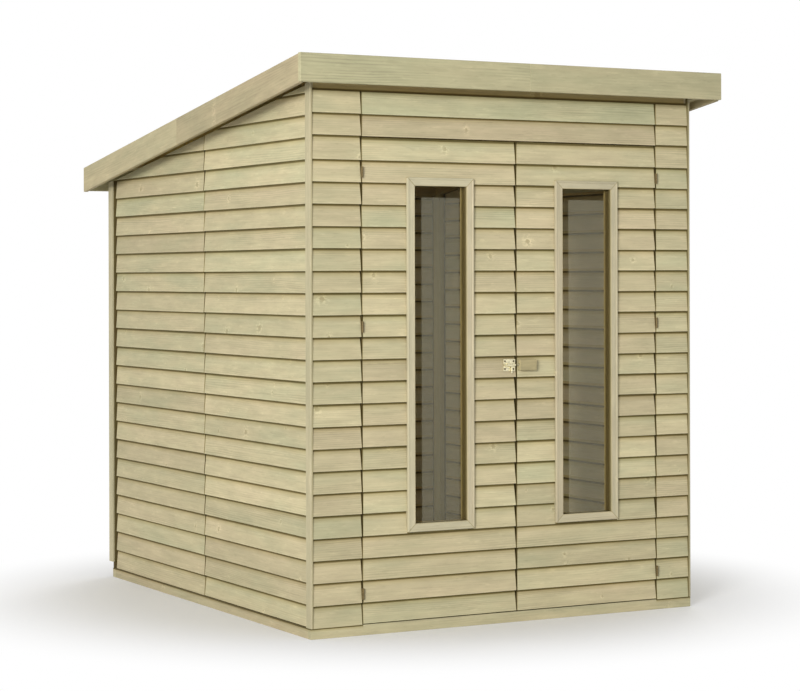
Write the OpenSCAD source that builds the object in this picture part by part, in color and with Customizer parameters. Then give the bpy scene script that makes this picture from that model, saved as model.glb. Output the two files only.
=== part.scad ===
// Wooden garden shed: overlap boarding on light framed walls, a pent roof that
// falls to the back, and a pair of outward opening doors, each with one tall
// narrow window. Millimetres. +Z is up, the doors face -Y, +X is to the right
// of someone facing the doors, and the origin is the middle of the underside
// of the floor.

/* [Floor] */
// Width of the floor, which is also the width across the corner strips
base_w = 1824; // [1600:1:2200]
// Depth of the floor from its front edge to its back edge
base_d = 2134; // [1700:1:2600]
// Height of the floor from the underside to the walking surface
base_h = 42; // [36:1:70]
// Thickness of the edge boards round the floor
rim_t = 28; // [18:1:40]
// Thickness of the floor boarding
deck_t = 11; // [8:1:18]
// Width of a floor joist
joist_w = 35; // [25:1:60]
// Number of floor joists, front to back
joist_count = 5; // [3:1:7]

/* [Wall boarding] */
// Height of one course of boards, lap edge to lap edge
board_pitch = 88; // [80:1:96]
// Number of courses in the front wall, floor to wall head
front_courses = 24; // [23:1:26]
// Number of courses over the doors
header_courses = 2; // [1:1:3]
// Extra height of the course that ends at the doors' heads
tall_course_extra = 8; // [0:1:16]
// Depth of the boarding at a lap edge
board_nose_t = 12; // [9:1:16]
// Depth of the boarding just above a lap edge
board_thin_t = 5; // [3:1:7]
// Gap between the boards of two panels of one wall
panel_gap = 6; // [2:0.5:10]

/* [Wall framing] */
// Depth of the wall framing, outside to inside
frame_t = 35; // [28:1:45]
// Width of a stud or rail seen from inside
stud_w = 44; // [30:1:60]
// Height of the back wall's lowest edge above the floor
back_wall_lift = 28; // [10:1:60]
// Distance from the back ends of the side boards to the floor's back edge
side_board_short = 16; // [10:1:40]

/* [Corner strips] */
// Width of a corner strip
strip_w = 45; // [35:1:60]
// Thickness of a corner strip
strip_t = 10; // [8:1:15]
// How far a corner strip stands proud of the boards beside it
strip_proud = 2; // [0:0.5:5]

/* [Roof] */
// Slope of the roof in degrees, falling to the back
roof_slope = 8.2; // [5:0.1:12]
// Height of the roof's front top edge above the floor
roof_front_rise = 2253; // [2240:1:2290]
// Overhang in front of the door wall
front_overhang = 107; // [60:1:150]
// Overhang beyond each side
side_overhang = 92; // [60:1:130]
// Overhang beyond the back wall's boards
back_overhang = 90; // [50:1:150]
// Depth of a roof rafter
rafter_h = 70; // [50:1:90]
// Width of a roof rafter
rafter_w = 38; // [28:1:50]
// Number of rafters
rafter_count = 5; // [4:1:7]
// Thickness of the roof boarding
roof_deck_t = 11; // [8:1:18]
// Thickness of the roofing felt
felt_t = 3; // [2:0.5:5]
// Height of the fascia and barge boards
fascia_h = 114; // [95:1:140]
// Thickness of the fascia and barge boards
fascia_t = 20; // [12:1:22]
// Distance of the joint in the front fascia from the floor's left edge
front_fascia_joint = 952; // [600:1:1300]
// Distance of the joint in each barge board behind the floor's front edge
barge_joint = 1127; // [600:1:1600]

/* [Doors] */
// Width of the fixed panel left of the doors, corner strip to door seam
left_panel_w = 229; // [160:1:260]
// Width of the fixed panel right of the doors, door seam to corner strip
right_panel_w = 177; // [150:1:260]
// Gap at the hinge edge, the head and the foot of a door
door_gap = 6; // [5:0.5:9]
// Gap between the two doors
meeting_gap = 12; // [7:0.5:14]
// Distance of the doors' meeting seam right of the doorway's middle
meeting_shift = 9; // [0:1:14]

/* [Windows] */
// Width of the window trim, outside to outside
window_w = 310; // [240:1:400]
// Distance of the window trim from the door's hinge seam
window_inset = 202; // [150:1:240]
// Height of the window trim's foot above the floor
window_sill = 356; // [300:1:900]
// Distance of the window trim's head below the door's head
window_head = 155; // [120:1:500]
// Width of the trim moulding
trim_w = 34; // [25:1:45]
// Thickness of the trim moulding
trim_t = 12; // [8:1:16]
// Radius of the trim's two front edges
trim_round = 5; // [1:0.5:5]
// Thickness of the glass
glass_t = 3; // [2:0.5:5]
// How far the glass runs on behind the trim on each side
glass_lap = 9; // [5:1:14]
// Room between the glass and the edge of its hole in the boards
glass_room = 1; // [0.5:0.5:3]

/* [Hinges] */
// Room between two knuckles of a barrel
knuckle_gap = 0.4; // [0.3:0.1:0.8]
// Room round the pin in the moving knuckle
pin_room = 0.25; // [0.2:0.05:0.5]
// Height of a hinge barrel
hinge_h = 44; // [36:1:60]
// Radius of a hinge barrel
hinge_r = 5; // [4:0.5:7]
// Radius of the hinge pin
hinge_pin_r = 2; // [1.5:0.25:3]
// Thickness of a hinge leaf
hinge_leaf_t = 1.5; // [1:0.25:2]
// Depth of a hinge leaf along the door's edge
hinge_leaf_d = 32; // [20:1:40]
// Height of each hinge's middle above the floor
hinge_heights = [123, 1184, 1800];

/* [Bolt] */
// Height of the bolt above the floor
bolt_z = 1018; // [900:1:1150]
// Radius of the sliding rod
bolt_r = 4; // [3:0.5:5]
// Travel of the sliding rod
bolt_travel = 24; // [20:1:24]
// Width of the bolt's back plate
bolt_plate_w = 56; // [54:1:80]
// Height of the bolt's back plate
bolt_plate_h = 48; // [36:1:60]
// Thickness of the bolt's back plate
bolt_plate_t = 2; // [1.5:0.5:3]
// Width of the wooden keep block
keep_w = 80; // [60:1:110]
// Height of the wooden keep block
keep_h = 46; // [36:1:60]
// Thickness of the wooden keep block
keep_t = 20; // [16:1:26]
// Length of the groove in the keep block's back
groove_l = 32; // [30:1:45]
// Room round the rod in the groove
groove_room = 2.5; // [2:0.25:3]
// Distance of the back plate from its door's edge
bolt_margin = 0; // [0:0.5:6]
// Distance of the keep block from its door's edge
keep_margin = 2; // [1:0.5:5]
// Distance between the back plate and the rod
rod_stand = 2; // [1:0.5:4]
// Distance of the rod's ends from the back plate's edges
rod_inset = 1; // [0:0.5:3]
// Distance of the guide over the rod from the back plate's far edge
guide_inset = 12; // [8:1:16]
// Length of the guide over the rod
guide_l = 20; // [16:1:24]
// Thickness of the guide
guide_wall = 2; // [1.5:0.5:3]
// Room round the rod in the guide
rod_room = 0.4; // [0.3:0.1:0.8]
// Distance of the tongue that the rod is pushed by from the door's edge
tongue_inset = 17; // [15:1:20]
// Width of the tongue
tongue_w = 6; // [4:0.5:6]
// Thickness of the tongue
tongue_t = 3; // [2:0.5:4]
// Distance of the tongue's end below the rod's middle
tongue_drop = 33; // [26:1:40]

/* [Hidden] */
$fn = 32;

// A hair of room between separate pieces of one frame
seat = 0.3;
// Something longer than any piece, for cutting
far = 6000;
// How far a cut runs on past the face it starts from
past = 1;
// Angle between the points of a rounded edge
arc_step = 15;

x_left = -base_w / 2;
x_right = base_w / 2;
y_front = -base_d / 2;
y_back = base_d / 2;

door_courses = front_courses - header_courses;
header_rise = door_courses * board_pitch + tall_course_extra;
front_wall_h = header_rise + header_courses * board_pitch;
wall_t = board_nose_t + frame_t;
back_wall_out = y_back + seat + wall_t;

// The roof's top face, and the plane of the wall heads that the rafters stand on
roof_y0 = y_front - front_overhang;
roof_y1 = back_wall_out + back_overhang;
fall = tan(roof_slope);
rise = 1 / cos(roof_slope);
function roof_z(y) = base_h + roof_front_rise - (y - roof_y0) * fall;
deck_top_drop = felt_t * rise;
rafter_top_drop = (felt_t + roof_deck_t) * rise;
rafter_foot_drop = (felt_t + roof_deck_t + rafter_h) * rise;
wall_top_drop = rafter_foot_drop + seat;
rail_foot_drop = wall_top_drop + stud_w * rise;
roof_x = x_right + side_overhang;

// Doors
seam_left = x_left + left_panel_w;
seam_right = x_right - right_panel_w;
seam_mid = (seam_left + seam_right) / 2 + meeting_shift;
door_foot = base_h + door_gap;
header_foot = base_h + header_rise;
door_head = header_foot - door_gap;
left_leaf_x = seam_left + door_gap / 2;
left_leaf_end = seam_mid - meeting_gap / 2;
right_leaf_x = seam_mid + meeting_gap / 2;
right_leaf_end = seam_right - door_gap / 2;
hinge_y = y_front - hinge_r;

// Draws a profile given in Y and Z, and runs it along +X from x0 to x1
module along_x(x0, x1) {
    translate([x0, 0, 0])
        rotate([90, 0, 90])
            linear_extrude(x1 - x0)
                children();
}

// Draws a profile given in X and Z, and runs it along +Y from y0 to y1
module along_y(y0, y1) {
    translate([0, y1, 0])
        rotate([90, 0, 0])
            linear_extrude(y1 - y0)
                children();
}

// A box from its low corner to its high corner
module block(low, high) {
    translate(low)
        cube(high - low);
}

// Height of a lap edge, where the courses above the first few may be lifted
function lap_z(i, plain, extra) = i * board_pitch + (i >= plain ? extra : 0);

// The stepped outline of a wall of overlapping boards, as depth and height.
// The lap edges lie at depth 0 and the flat back at board_nose_t. From the
// course number given as plain, the courses are lifted by extra.
function lap_outline(courses, plain = 0, extra = 0) = concat(
    [for (i = [0:courses - 1]) for (p = [
        [0, lap_z(i, plain, extra)],
        [board_nose_t - board_thin_t, lap_z(i + 1, plain, extra)]
    ]) p],
    [[board_nose_t, lap_z(courses, plain, extra)], [board_nose_t, 0]]
);

// Everything under the plane of the wall heads
module under_wall_top() {
    along_x(-far, far)
        polygon([
            [-far, 0],
            [far, 0],
            [far, roof_z(far) - wall_top_drop],
            [-far, roof_z(-far) - wall_top_drop]
        ]);
}

// Number of courses that reach a height
function courses_for(h) = ceil(h / board_pitch);

// Floor

module floor_rim() {
    color("#b9ae86") {
        block([x_left, y_front, 0], [x_right, y_front + rim_t, base_h]);
        block([x_left, y_back - rim_t, 0], [x_right, y_back, base_h]);
        for (side = [0, 1])
            mirror([side, 0, 0])
                block(
                    [x_left, y_front + rim_t + seat, 0],
                    [x_left + rim_t, y_back - rim_t - seat, base_h]
                );
    }
}

module floor_joists() {
    inner = x_right - rim_t - seat;
    step = (2 * inner - joist_w) / (joist_count - 1);
    color("#b3a67c")
        for (i = [0:joist_count - 1])
            block(
                [-inner + i * step, y_front + rim_t + seat, 0],
                [-inner + i * step + joist_w, y_back - rim_t - seat, base_h - deck_t - seat]
            );
}

module floor_deck() {
    color("#a99b74")
        block(
            [x_left + rim_t + seat, y_front + rim_t + seat, base_h - deck_t],
            [x_right - rim_t - seat, y_back - rim_t - seat, base_h]
        );
}

// Front wall

module front_boards(x0, x1) {
    translate([0, y_front, base_h])
        along_x(x0, x1)
            polygon(lap_outline(front_courses, door_courses, tall_course_extra));
}

module front_left_panel() {
    color("#c6bd92")
        front_boards(x_left + strip_t, seam_left - door_gap / 2);
}

module front_right_panel() {
    color("#c6bd92")
        front_boards(seam_right + door_gap / 2, x_right - strip_t);
}

module header_panel() {
    color("#c6bd92")
        translate([0, y_front, header_foot])
            along_x(seam_left - door_gap / 2 + panel_gap, seam_right + door_gap / 2 - panel_gap)
                polygon(lap_outline(header_courses));
}

// A post of the front wall, from the floor to the wall plate
module front_post(x) {
    block(
        [x, y_front + board_nose_t, base_h],
        [x + stud_w, y_front + wall_t, base_h + front_wall_h - seat]
    );
}

module front_wall_frame() {
    jamb_left = seam_left - door_gap / 2 - stud_w;
    jamb_right = seam_right + door_gap / 2;
    color("#b7aa80") {
        front_post(x_left + strip_t);
        front_post(jamb_left);
        front_post(jamb_right);
        front_post(x_right - strip_t - stud_w);
        // Rails at the foot of each fixed panel and the head over the doors
        block(
            [x_left + strip_t + stud_w + seat, y_front + board_nose_t, base_h],
            [jamb_left - seat, y_front + wall_t, base_h + stud_w]
        );
        block(
            [jamb_right + stud_w + seat, y_front + board_nose_t, base_h],
            [x_right - strip_t - stud_w - seat, y_front + wall_t, base_h + stud_w]
        );
        block(
            [jamb_left + stud_w + seat, y_front + board_nose_t, header_foot],
            [jamb_right - seat, y_front + wall_t, header_foot + stud_w]
        );
    }
}

// The beam that closes the front wall under the rafters
module front_wall_plate() {
    color("#a0946c")
        intersection() {
            under_wall_top();
            block(
                [x_left + strip_t, y_front + board_nose_t, base_h + front_wall_h],
                [x_right - strip_t, y_front + wall_t, base_h + roof_front_rise]
            );
        }
}

// Side walls, drawn on the left and mirrored for the right

module side_boards(y0, y1) {
    courses = courses_for(roof_front_rise);
    color("#c3ba8e")
        intersection() {
            under_wall_top();
            translate([x_left + strip_t, 0, base_h])
                along_y(y0, y1)
                    polygon(lap_outline(courses));
        }
}

side_y0 = y_front + wall_t + seat;
side_y1 = y_back - side_board_short;
side_mid = (y_front + y_back) / 2;

module left_wall_front_panel() {
    side_boards(side_y0, side_mid - panel_gap / 2);
}

module left_wall_rear_panel() {
    side_boards(side_mid + panel_gap / 2, side_y1);
}

// A stud of the left wall, cut off under the sloping top rail
module side_stud(y) {
    intersection() {
        translate([0, 0, -(stud_w + seat) * rise])
            under_wall_top();
        block(
            [x_left + strip_t + board_nose_t, y, base_h + stud_w + seat],
            [x_left + strip_t + wall_t, y + stud_w, base_h + roof_front_rise]
        );
    }
}

module side_frame() {
    x0 = x_left + strip_t + board_nose_t;
    x1 = x_left + strip_t + wall_t;
    color("#b7aa80") {
        block([x0, side_y0, base_h], [x1, y_back, base_h + stud_w]);
        along_x(x0, x1)
            polygon([
                [side_y0, roof_z(side_y0) - rail_foot_drop],
                [y_back, roof_z(y_back) - rail_foot_drop],
                [y_back, roof_z(y_back) - wall_top_drop],
                [side_y0, roof_z(side_y0) - wall_top_drop]
            ]);
        side_stud(side_y0);
        side_stud((side_y0 + side_mid - stud_w) / 2);
        side_stud(side_mid - seat / 2 - stud_w);
        side_stud(side_mid + seat / 2);
        side_stud((side_mid + y_back - stud_w) / 2);
        side_stud(y_back - stud_w);
    }
}

module left_wall_frame() {
    side_frame();
}

module right_wall_front_panel() {
    mirror([1, 0, 0])
        left_wall_front_panel();
}

module right_wall_rear_panel() {
    mirror([1, 0, 0])
        left_wall_rear_panel();
}

module right_wall_frame() {
    mirror([1, 0, 0])
        side_frame();
}

// Back wall, which hangs behind the floor's back edge

back_foot = base_h + back_wall_lift;

module back_boards(x0, x1) {
    courses = courses_for(roof_front_rise);
    color("#c3ba8e")
        intersection() {
            under_wall_top();
            translate([0, back_wall_out, back_foot])
                mirror([0, 1, 0])
                    along_x(x0, x1)
                        polygon(lap_outline(courses));
        }
}

module back_wall_left_panel() {
    back_boards(x_left + strip_t, -panel_gap / 2);
}

module back_wall_right_panel() {
    back_boards(panel_gap / 2, x_right - strip_t);
}

module back_stud(x) {
    intersection() {
        translate([0, 0, -(stud_w + seat) * rise])
            under_wall_top();
        block(
            [x, y_back + seat, back_foot + stud_w + seat],
            [x + stud_w, y_back + seat + frame_t, base_h + roof_front_rise]
        );
    }
}

module back_wall_frame() {
    x0 = x_left + strip_t;
    y0 = y_back + seat;
    y1 = y0 + frame_t;
    color("#b7aa80") {
        block([x0, y0, back_foot], [-x0, y1, back_foot + stud_w]);
        along_x(x0, -x0)
            polygon([
                [y0, roof_z(y0) - rail_foot_drop],
                [y1, roof_z(y1) - rail_foot_drop],
                [y1, roof_z(y1) - wall_top_drop],
                [y0, roof_z(y0) - wall_top_drop]
            ]);
        back_stud(x0);
        back_stud((x0 - stud_w) / 2);
        back_stud(-seat / 2 - stud_w);
        back_stud(seat / 2);
        back_stud((-x0 - stud_w) / 2);
        back_stud(-x0 - stud_w);
    }
}

// Corner strips

module corner_strip(y0, y1, z0) {
    color("#d6cca4")
        for (side = [0, 1])
            mirror([side, 0, 0])
                intersection() {
                    under_wall_top();
                    block([x_left, y0, z0], [x_left + strip_t, y1, base_h + roof_front_rise]);
                }
}

module front_corner_strips() {
    corner_strip(y_front - strip_proud, y_front - strip_proud + strip_w, base_h);
}

module back_corner_strips() {
    corner_strip(back_wall_out + strip_proud - strip_w, back_wall_out + strip_proud, back_foot);
}

// Roof

// A board of the roof, front to back, between two drops below the roof's top
module roof_slab(x0, x1, drop_top, drop_foot) {
    y0 = roof_y0 + fascia_t + seat;
    y1 = roof_y1 - fascia_t - seat;
    along_x(x0, x1)
        polygon([
            [y0, roof_z(y0) - drop_foot],
            [y1, roof_z(y1) - drop_foot],
            [y1, roof_z(y1) - drop_top],
            [y0, roof_z(y0) - drop_top]
        ]);
}

roof_inner_x = roof_x - fascia_t - seat;

module roof_rafters() {
    step = (2 * roof_inner_x - rafter_w) / (rafter_count - 1);
    color("#a99c74")
        for (i = [0:rafter_count - 1])
            roof_slab(
                -roof_inner_x + i * step,
                -roof_inner_x + i * step + rafter_w,
                rafter_top_drop,
                rafter_foot_drop
            );
}

module roof_deck() {
    color("#b08d5a")
        roof_slab(-roof_inner_x, roof_inner_x, deck_top_drop, rafter_top_drop);
}

module roof_felt() {
    color("#5d6360")
        roof_slab(-roof_inner_x, roof_inner_x, 0, deck_top_drop);
}

// A level fascia board under the roof's top edge
module fascia_board(x0, x1, y0, y1, edge_y) {
    block([x0, y0, roof_z(edge_y) - fascia_h], [x1, y1, roof_z(edge_y)]);
}

module front_fascia() {
    joint_x = x_left + front_fascia_joint;
    color("#c9bf96") {
        fascia_board(-roof_x, joint_x - seat, roof_y0, roof_y0 + fascia_t, roof_y0);
        fascia_board(joint_x + seat, roof_x, roof_y0, roof_y0 + fascia_t, roof_y0);
    }
}

module back_fascia() {
    inner_x = roof_x - fascia_t - seat;
    color("#c9bf96") {
        fascia_board(-inner_x, -seat, roof_y1 - fascia_t, roof_y1, roof_y1 - fascia_t);
        fascia_board(seat, inner_x, roof_y1 - fascia_t, roof_y1, roof_y1 - fascia_t);
    }
}

// A sloping barge board with plumb cut ends
module barge_piece(y0, y1) {
    along_x(-roof_x, -roof_x + fascia_t)
        polygon([
            [y0, roof_z(y0) - fascia_h * rise],
            [y1, roof_z(y1) - fascia_h * rise],
            [y1, roof_z(y1)],
            [y0, roof_z(y0)]
        ]);
}

module left_bargeboard() {
    joint_y = y_front + barge_joint;
    color("#c9bf96") {
        barge_piece(roof_y0 + fascia_t + seat, joint_y - seat);
        barge_piece(joint_y + seat, roof_y1);
    }
}

module right_bargeboard() {
    mirror([1, 0, 0])
        left_bargeboard();
}

// Doors, each drawn between its two edges with its face at the front wall

open_w = window_w - 2 * trim_w;
open_foot = base_h + window_sill + trim_w;
open_h = door_head - window_head - trim_w - open_foot;
hole_lap = glass_lap + glass_room;

// The boards of one door, with the hole for the glass
module door_boards(x0, x1, window_left) {
    hole_x0 = window_left + trim_w - hole_lap;
    hole_x1 = window_left + window_w - trim_w + hole_lap;
    color("#c6bd92")
        difference() {
            intersection() {
                front_boards(x0, x1);
                block(
                    [x0, y_front, door_foot],
                    [x1, y_front + board_nose_t, door_head]
                );
            }
            block(
                [hole_x0, y_front - past, open_foot - hole_lap],
                [hole_x1, y_front + board_nose_t + past, open_foot + open_h + hole_lap]
            );
        }
}

// The ledged frame behind the boards: stiles, rails and window bearers
module door_frame(x0, x1, window_left) {
    y0 = y_front + board_nose_t;
    y1 = y_front + wall_t;
    hole_x0 = window_left + trim_w;
    hole_x1 = window_left + window_w - trim_w;
    hole_z0 = open_foot;
    hole_z1 = open_foot + open_h;
    color("#b7aa80") {
        // Stiles
        block([x0, y0, door_foot], [x0 + stud_w, y1, door_head]);
        block([x1 - stud_w, y0, door_foot], [x1, y1, door_head]);
        // Rails at the foot and the head
        block([x0 + stud_w + seat, y0, door_foot], [x1 - stud_w - seat, y1, door_foot + stud_w]);
        block([x0 + stud_w + seat, y0, door_head - stud_w], [x1 - stud_w - seat, y1, door_head]);
        // Rails under and over the window
        block([x0 + stud_w + seat, y0, hole_z0 - stud_w], [x1 - stud_w - seat, y1, hole_z0]);
        block([x0 + stud_w + seat, y0, hole_z1], [x1 - stud_w - seat, y1, hole_z1 + stud_w]);
        // Window jambs
        block([hole_x0 - stud_w, y0, hole_z0 + seat], [hole_x0, y1, hole_z1 - seat]);
        block([hole_x1, y0, hole_z0 + seat], [hole_x1 + stud_w, y1, hole_z1 - seat]);
    }
}

// Points on a rounded edge of the trim, from one angle to another
function trim_edge(centre, from, to) = [
    for (a = [from:-arc_step:to])
        [centre + trim_round * cos(a), trim_t - trim_round + trim_round * sin(a)]
];

// The section of the trim, as distance from the opening and depth outwards,
// with its two front edges rounded
function trim_section() = concat(
    [[0, 0]],
    trim_edge(trim_round, 180, 90),
    trim_edge(trim_w - trim_round, 90, 0),
    [[trim_w, 0]]
);

// One length of trim along X with mitred ends, its opening edge at the origin
module trim_length(span) {
    long = span + 2 * trim_w;
    intersection() {
        translate([-trim_w, 0, 0])
            rotate([90, 0, 90])
                linear_extrude(long)
                    polygon([for (p = trim_section()) [-p[1], -p[0]]]);
        rotate([90, 0, 0])
            translate([0, 0, -past])
                linear_extrude(trim_t + 2 * past)
                    polygon([
                        [seat, 0],
                        [span - seat, 0],
                        [span - seat + trim_w, -trim_w],
                        [seat - trim_w, -trim_w]
                    ]);
    }
}

// Four lengths of trim round the opening whose foot corner is at left_x, foot_z
module window_trim(left_x) {
    color("#d2c8a0")
        translate([left_x + trim_w, y_front, open_foot]) {
            trim_length(open_w);
            translate([open_w, 0, open_h])
                rotate([0, 180, 0])
                    trim_length(open_w);
            translate([0, 0, open_h])
                rotate([0, 90, 0])
                    trim_length(open_h);
            translate([open_w, 0, 0])
                rotate([0, -90, 0])
                    trim_length(open_h);
        }
}

module window_glass(left_x) {
    x0 = left_x + trim_w - glass_lap;
    x1 = left_x + window_w - trim_w + glass_lap;
    y1 = y_front + board_nose_t;
    color("#9aa6a0", 0.4)
        block(
            [x0, y1 - glass_t, open_foot - glass_lap],
            [x1, y1, open_foot + open_h + glass_lap]
        );
}

left_window_x = seam_left + window_inset;
right_window_x = seam_right - window_inset - window_w;

module left_door_boards() {
    door_boards(left_leaf_x, left_leaf_end, left_window_x);
}

module left_door_frame() {
    door_frame(left_leaf_x, left_leaf_end, left_window_x);
}

module left_window_trim() {
    window_trim(left_window_x);
}

module left_window_glass() {
    window_glass(left_window_x);
}

module right_door_boards() {
    door_boards(right_leaf_x, right_leaf_end, right_window_x);
}

module right_door_frame() {
    door_frame(right_leaf_x, right_leaf_end, right_window_x);
}

module right_window_trim() {
    window_trim(right_window_x);
}

module right_window_glass() {
    window_glass(right_window_x);
}

// Hinges, with the barrel on the origin's Z axis and the leaves running to +Y.
// The fixed half has the two outer knuckles and the pin, the moving half the
// middle one.

knuckle_h = hinge_h / 3;

module knuckle(z0, z1) {
    translate([0, 0, z0])
        cylinder(h = z1 - z0, r = hinge_r);
}

module leaf_plate() {
    edge = door_gap / 2;
    block([-edge, 0, 0], [-edge + hinge_leaf_t, hinge_r + hinge_leaf_d, hinge_h]);
}

// The half on the post, to the left of the barrel
module hinge_fixed() {
    difference() {
        union() {
            knuckle(0, knuckle_h - knuckle_gap);
            knuckle(2 * knuckle_h + knuckle_gap, hinge_h);
            leaf_plate();
        }
        translate([0, 0, knuckle_h - knuckle_gap])
            cylinder(h = knuckle_h + 2 * knuckle_gap, r = hinge_r + 2 * knuckle_gap);
    }
    cylinder(h = hinge_h, r = hinge_pin_r);
}

// The half on the door, to the right of the barrel
module hinge_moving() {
    difference() {
        union() {
            knuckle(knuckle_h, 2 * knuckle_h);
            mirror([1, 0, 0])
                leaf_plate();
        }
        for (z = [-past, 2 * knuckle_h])
            translate([0, 0, z])
                cylinder(h = knuckle_h + past, r = hinge_r + 2 * knuckle_gap);
        translate([0, 0, -past])
            cylinder(h = hinge_h + 2 * past, r = hinge_pin_r + pin_room);
    }
}

// Repeats a hinge at each height of the left door's seam
module on_left_seam() {
    for (h = hinge_heights)
        translate([seam_left, hinge_y, base_h + h - hinge_h / 2])
            children();
}

// The same on the right door's seam, mirrored
module on_right_seam() {
    for (h = hinge_heights)
        translate([seam_right, hinge_y, base_h + h - hinge_h / 2])
            mirror([1, 0, 0])
                children();
}

module left_hinges_fixed() {
    color("#6f6a5a")
        on_left_seam()
            hinge_fixed();
}

module left_hinges_moving() {
    color("#6f6a5a")
        on_left_seam()
            hinge_moving();
}

module right_hinges_fixed() {
    color("#6f6a5a")
        on_right_seam()
            hinge_fixed();
}

module right_hinges_moving() {
    color("#6f6a5a")
        on_right_seam()
            hinge_moving();
}

// Bolt on the left door and its wooden keep block on the right door

// Where the leaning face of the boards lies, just outside which a fitting sits
function seat_y(z_foot) =
    y_front
    + (z_foot - base_h) % board_pitch / board_pitch * (board_nose_t - board_thin_t)
    - seat;

bolt_x1 = left_leaf_end - bolt_margin;
bolt_x0 = bolt_x1 - bolt_plate_w;
bolt_height = base_h + bolt_z;
plate_back = seat_y(bolt_height - bolt_plate_h / 2);
keep_back = seat_y(bolt_height - keep_h / 2);
bolt_y = plate_back - bolt_plate_t - rod_stand - bolt_r;
guide_x = bolt_x0 + guide_inset;
tongue_x = left_leaf_end - tongue_inset - tongue_w;

// A cylinder on the rod's axis, from x0 to x1
module on_bolt_axis(x0, x1, radius) {
    translate([x0, bolt_y, bolt_height])
        rotate([0, 90, 0])
            cylinder(h = x1 - x0, r = radius);
}

// The guide over the rod, bored through for it
module bolt_guide() {
    half = bolt_r + rod_room + guide_wall;
    difference() {
        union() {
            block(
                [guide_x, bolt_y, bolt_height - half],
                [guide_x + guide_l, plate_back - bolt_plate_t, bolt_height + half]
            );
            on_bolt_axis(guide_x, guide_x + guide_l, half);
        }
        on_bolt_axis(guide_x - past, guide_x + guide_l + past, bolt_r + rod_room);
    }
}

module bolt_plate() {
    color("#cfc6a6") {
        block(
            [bolt_x0, plate_back - bolt_plate_t, bolt_height - bolt_plate_h / 2],
            [bolt_x1, plate_back, bolt_height + bolt_plate_h / 2]
        );
        bolt_guide();
    }
}

module bolt_rod() {
    color("#d8d0b4")
        on_bolt_axis(bolt_x0 + rod_inset, bolt_x1 - rod_inset, bolt_r);
}

// The tongue that the rod is pushed by, which sits under it
module bolt_handle() {
    color("#d8d0b4")
        difference() {
            block(
                [tongue_x, bolt_y - tongue_t / 2, bolt_height - tongue_drop],
                [tongue_x + tongue_w, bolt_y + tongue_t / 2, bolt_height]
            );
            on_bolt_axis(tongue_x - past, tongue_x + tongue_w + past, bolt_r + seat);
        }
}

// The wooden block that the rod slides into, grooved from behind
module bolt_keep() {
    keep_x = right_leaf_x + keep_margin;
    half = bolt_r + groove_room;
    color("#b9ab80")
        difference() {
            block(
                [keep_x, keep_back - keep_t, bolt_height - keep_h / 2],
                [keep_x + keep_w, keep_back, bolt_height + keep_h / 2]
            );
            block(
                [keep_x - past, bolt_y - half, bolt_height - half],
                [keep_x + groove_l, keep_back + past, bolt_height + half]
            );
        }
}

floor_rim();
floor_joists();
floor_deck();
front_left_panel();
front_right_panel();
header_panel();
front_wall_frame();
front_wall_plate();
left_wall_front_panel();
left_wall_rear_panel();
left_wall_frame();
right_wall_front_panel();
right_wall_rear_panel();
right_wall_frame();
back_wall_left_panel();
back_wall_right_panel();
back_wall_frame();
front_corner_strips();
back_corner_strips();
roof_rafters();
roof_deck();
roof_felt();
front_fascia();
back_fascia();
left_bargeboard();
right_bargeboard();
left_hinges_fixed();
right_hinges_fixed();
left_door_boards();
left_door_frame();
left_window_trim();
left_window_glass();
left_hinges_moving();
right_door_boards();
right_door_frame();
right_window_trim();
right_window_glass();
right_hinges_moving();
bolt_plate();
bolt_rod();
bolt_handle();
bolt_keep();
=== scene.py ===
"""Looks for a wooden garden shed: overlap boarding, framing, roof, glazed doors and ironmongery.

Every length is in metres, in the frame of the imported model: +Z up, doors towards -Y.
"""
import math
import random

import bmesh
import bpy
from mathutils import Matrix, Vector


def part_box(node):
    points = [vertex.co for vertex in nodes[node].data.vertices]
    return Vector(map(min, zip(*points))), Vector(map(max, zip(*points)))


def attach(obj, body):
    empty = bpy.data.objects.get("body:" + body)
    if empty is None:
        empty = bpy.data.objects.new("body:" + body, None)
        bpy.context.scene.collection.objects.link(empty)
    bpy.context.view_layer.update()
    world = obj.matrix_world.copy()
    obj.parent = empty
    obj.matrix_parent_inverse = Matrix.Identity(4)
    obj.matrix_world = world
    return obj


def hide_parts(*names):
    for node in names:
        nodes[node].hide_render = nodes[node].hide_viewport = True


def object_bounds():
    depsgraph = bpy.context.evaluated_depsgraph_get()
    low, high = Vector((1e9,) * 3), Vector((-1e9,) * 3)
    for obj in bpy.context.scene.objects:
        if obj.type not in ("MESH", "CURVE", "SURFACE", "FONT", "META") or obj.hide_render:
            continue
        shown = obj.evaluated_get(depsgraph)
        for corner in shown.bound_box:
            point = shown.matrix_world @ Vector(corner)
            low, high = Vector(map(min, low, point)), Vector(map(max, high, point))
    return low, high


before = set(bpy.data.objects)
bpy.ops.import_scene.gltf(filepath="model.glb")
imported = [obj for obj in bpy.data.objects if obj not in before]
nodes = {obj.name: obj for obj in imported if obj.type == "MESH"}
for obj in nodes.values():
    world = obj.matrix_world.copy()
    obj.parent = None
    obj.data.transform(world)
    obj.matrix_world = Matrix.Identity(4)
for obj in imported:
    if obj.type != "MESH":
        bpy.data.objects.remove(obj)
cad_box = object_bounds()

# Boards: their courses and section, the lap behind the board above, and the roof's slope

BOARD_PITCH = 0.088
BOARD_THIN = 0.005
BOARD_NOSE = 0.012
BOARD_BODY = 0.007
BOARD_LAP = 0.012
DOOR_COURSES = 22
ROOF_SLOPE = math.tan(math.radians(8.2))


# Places read from the frame

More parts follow.
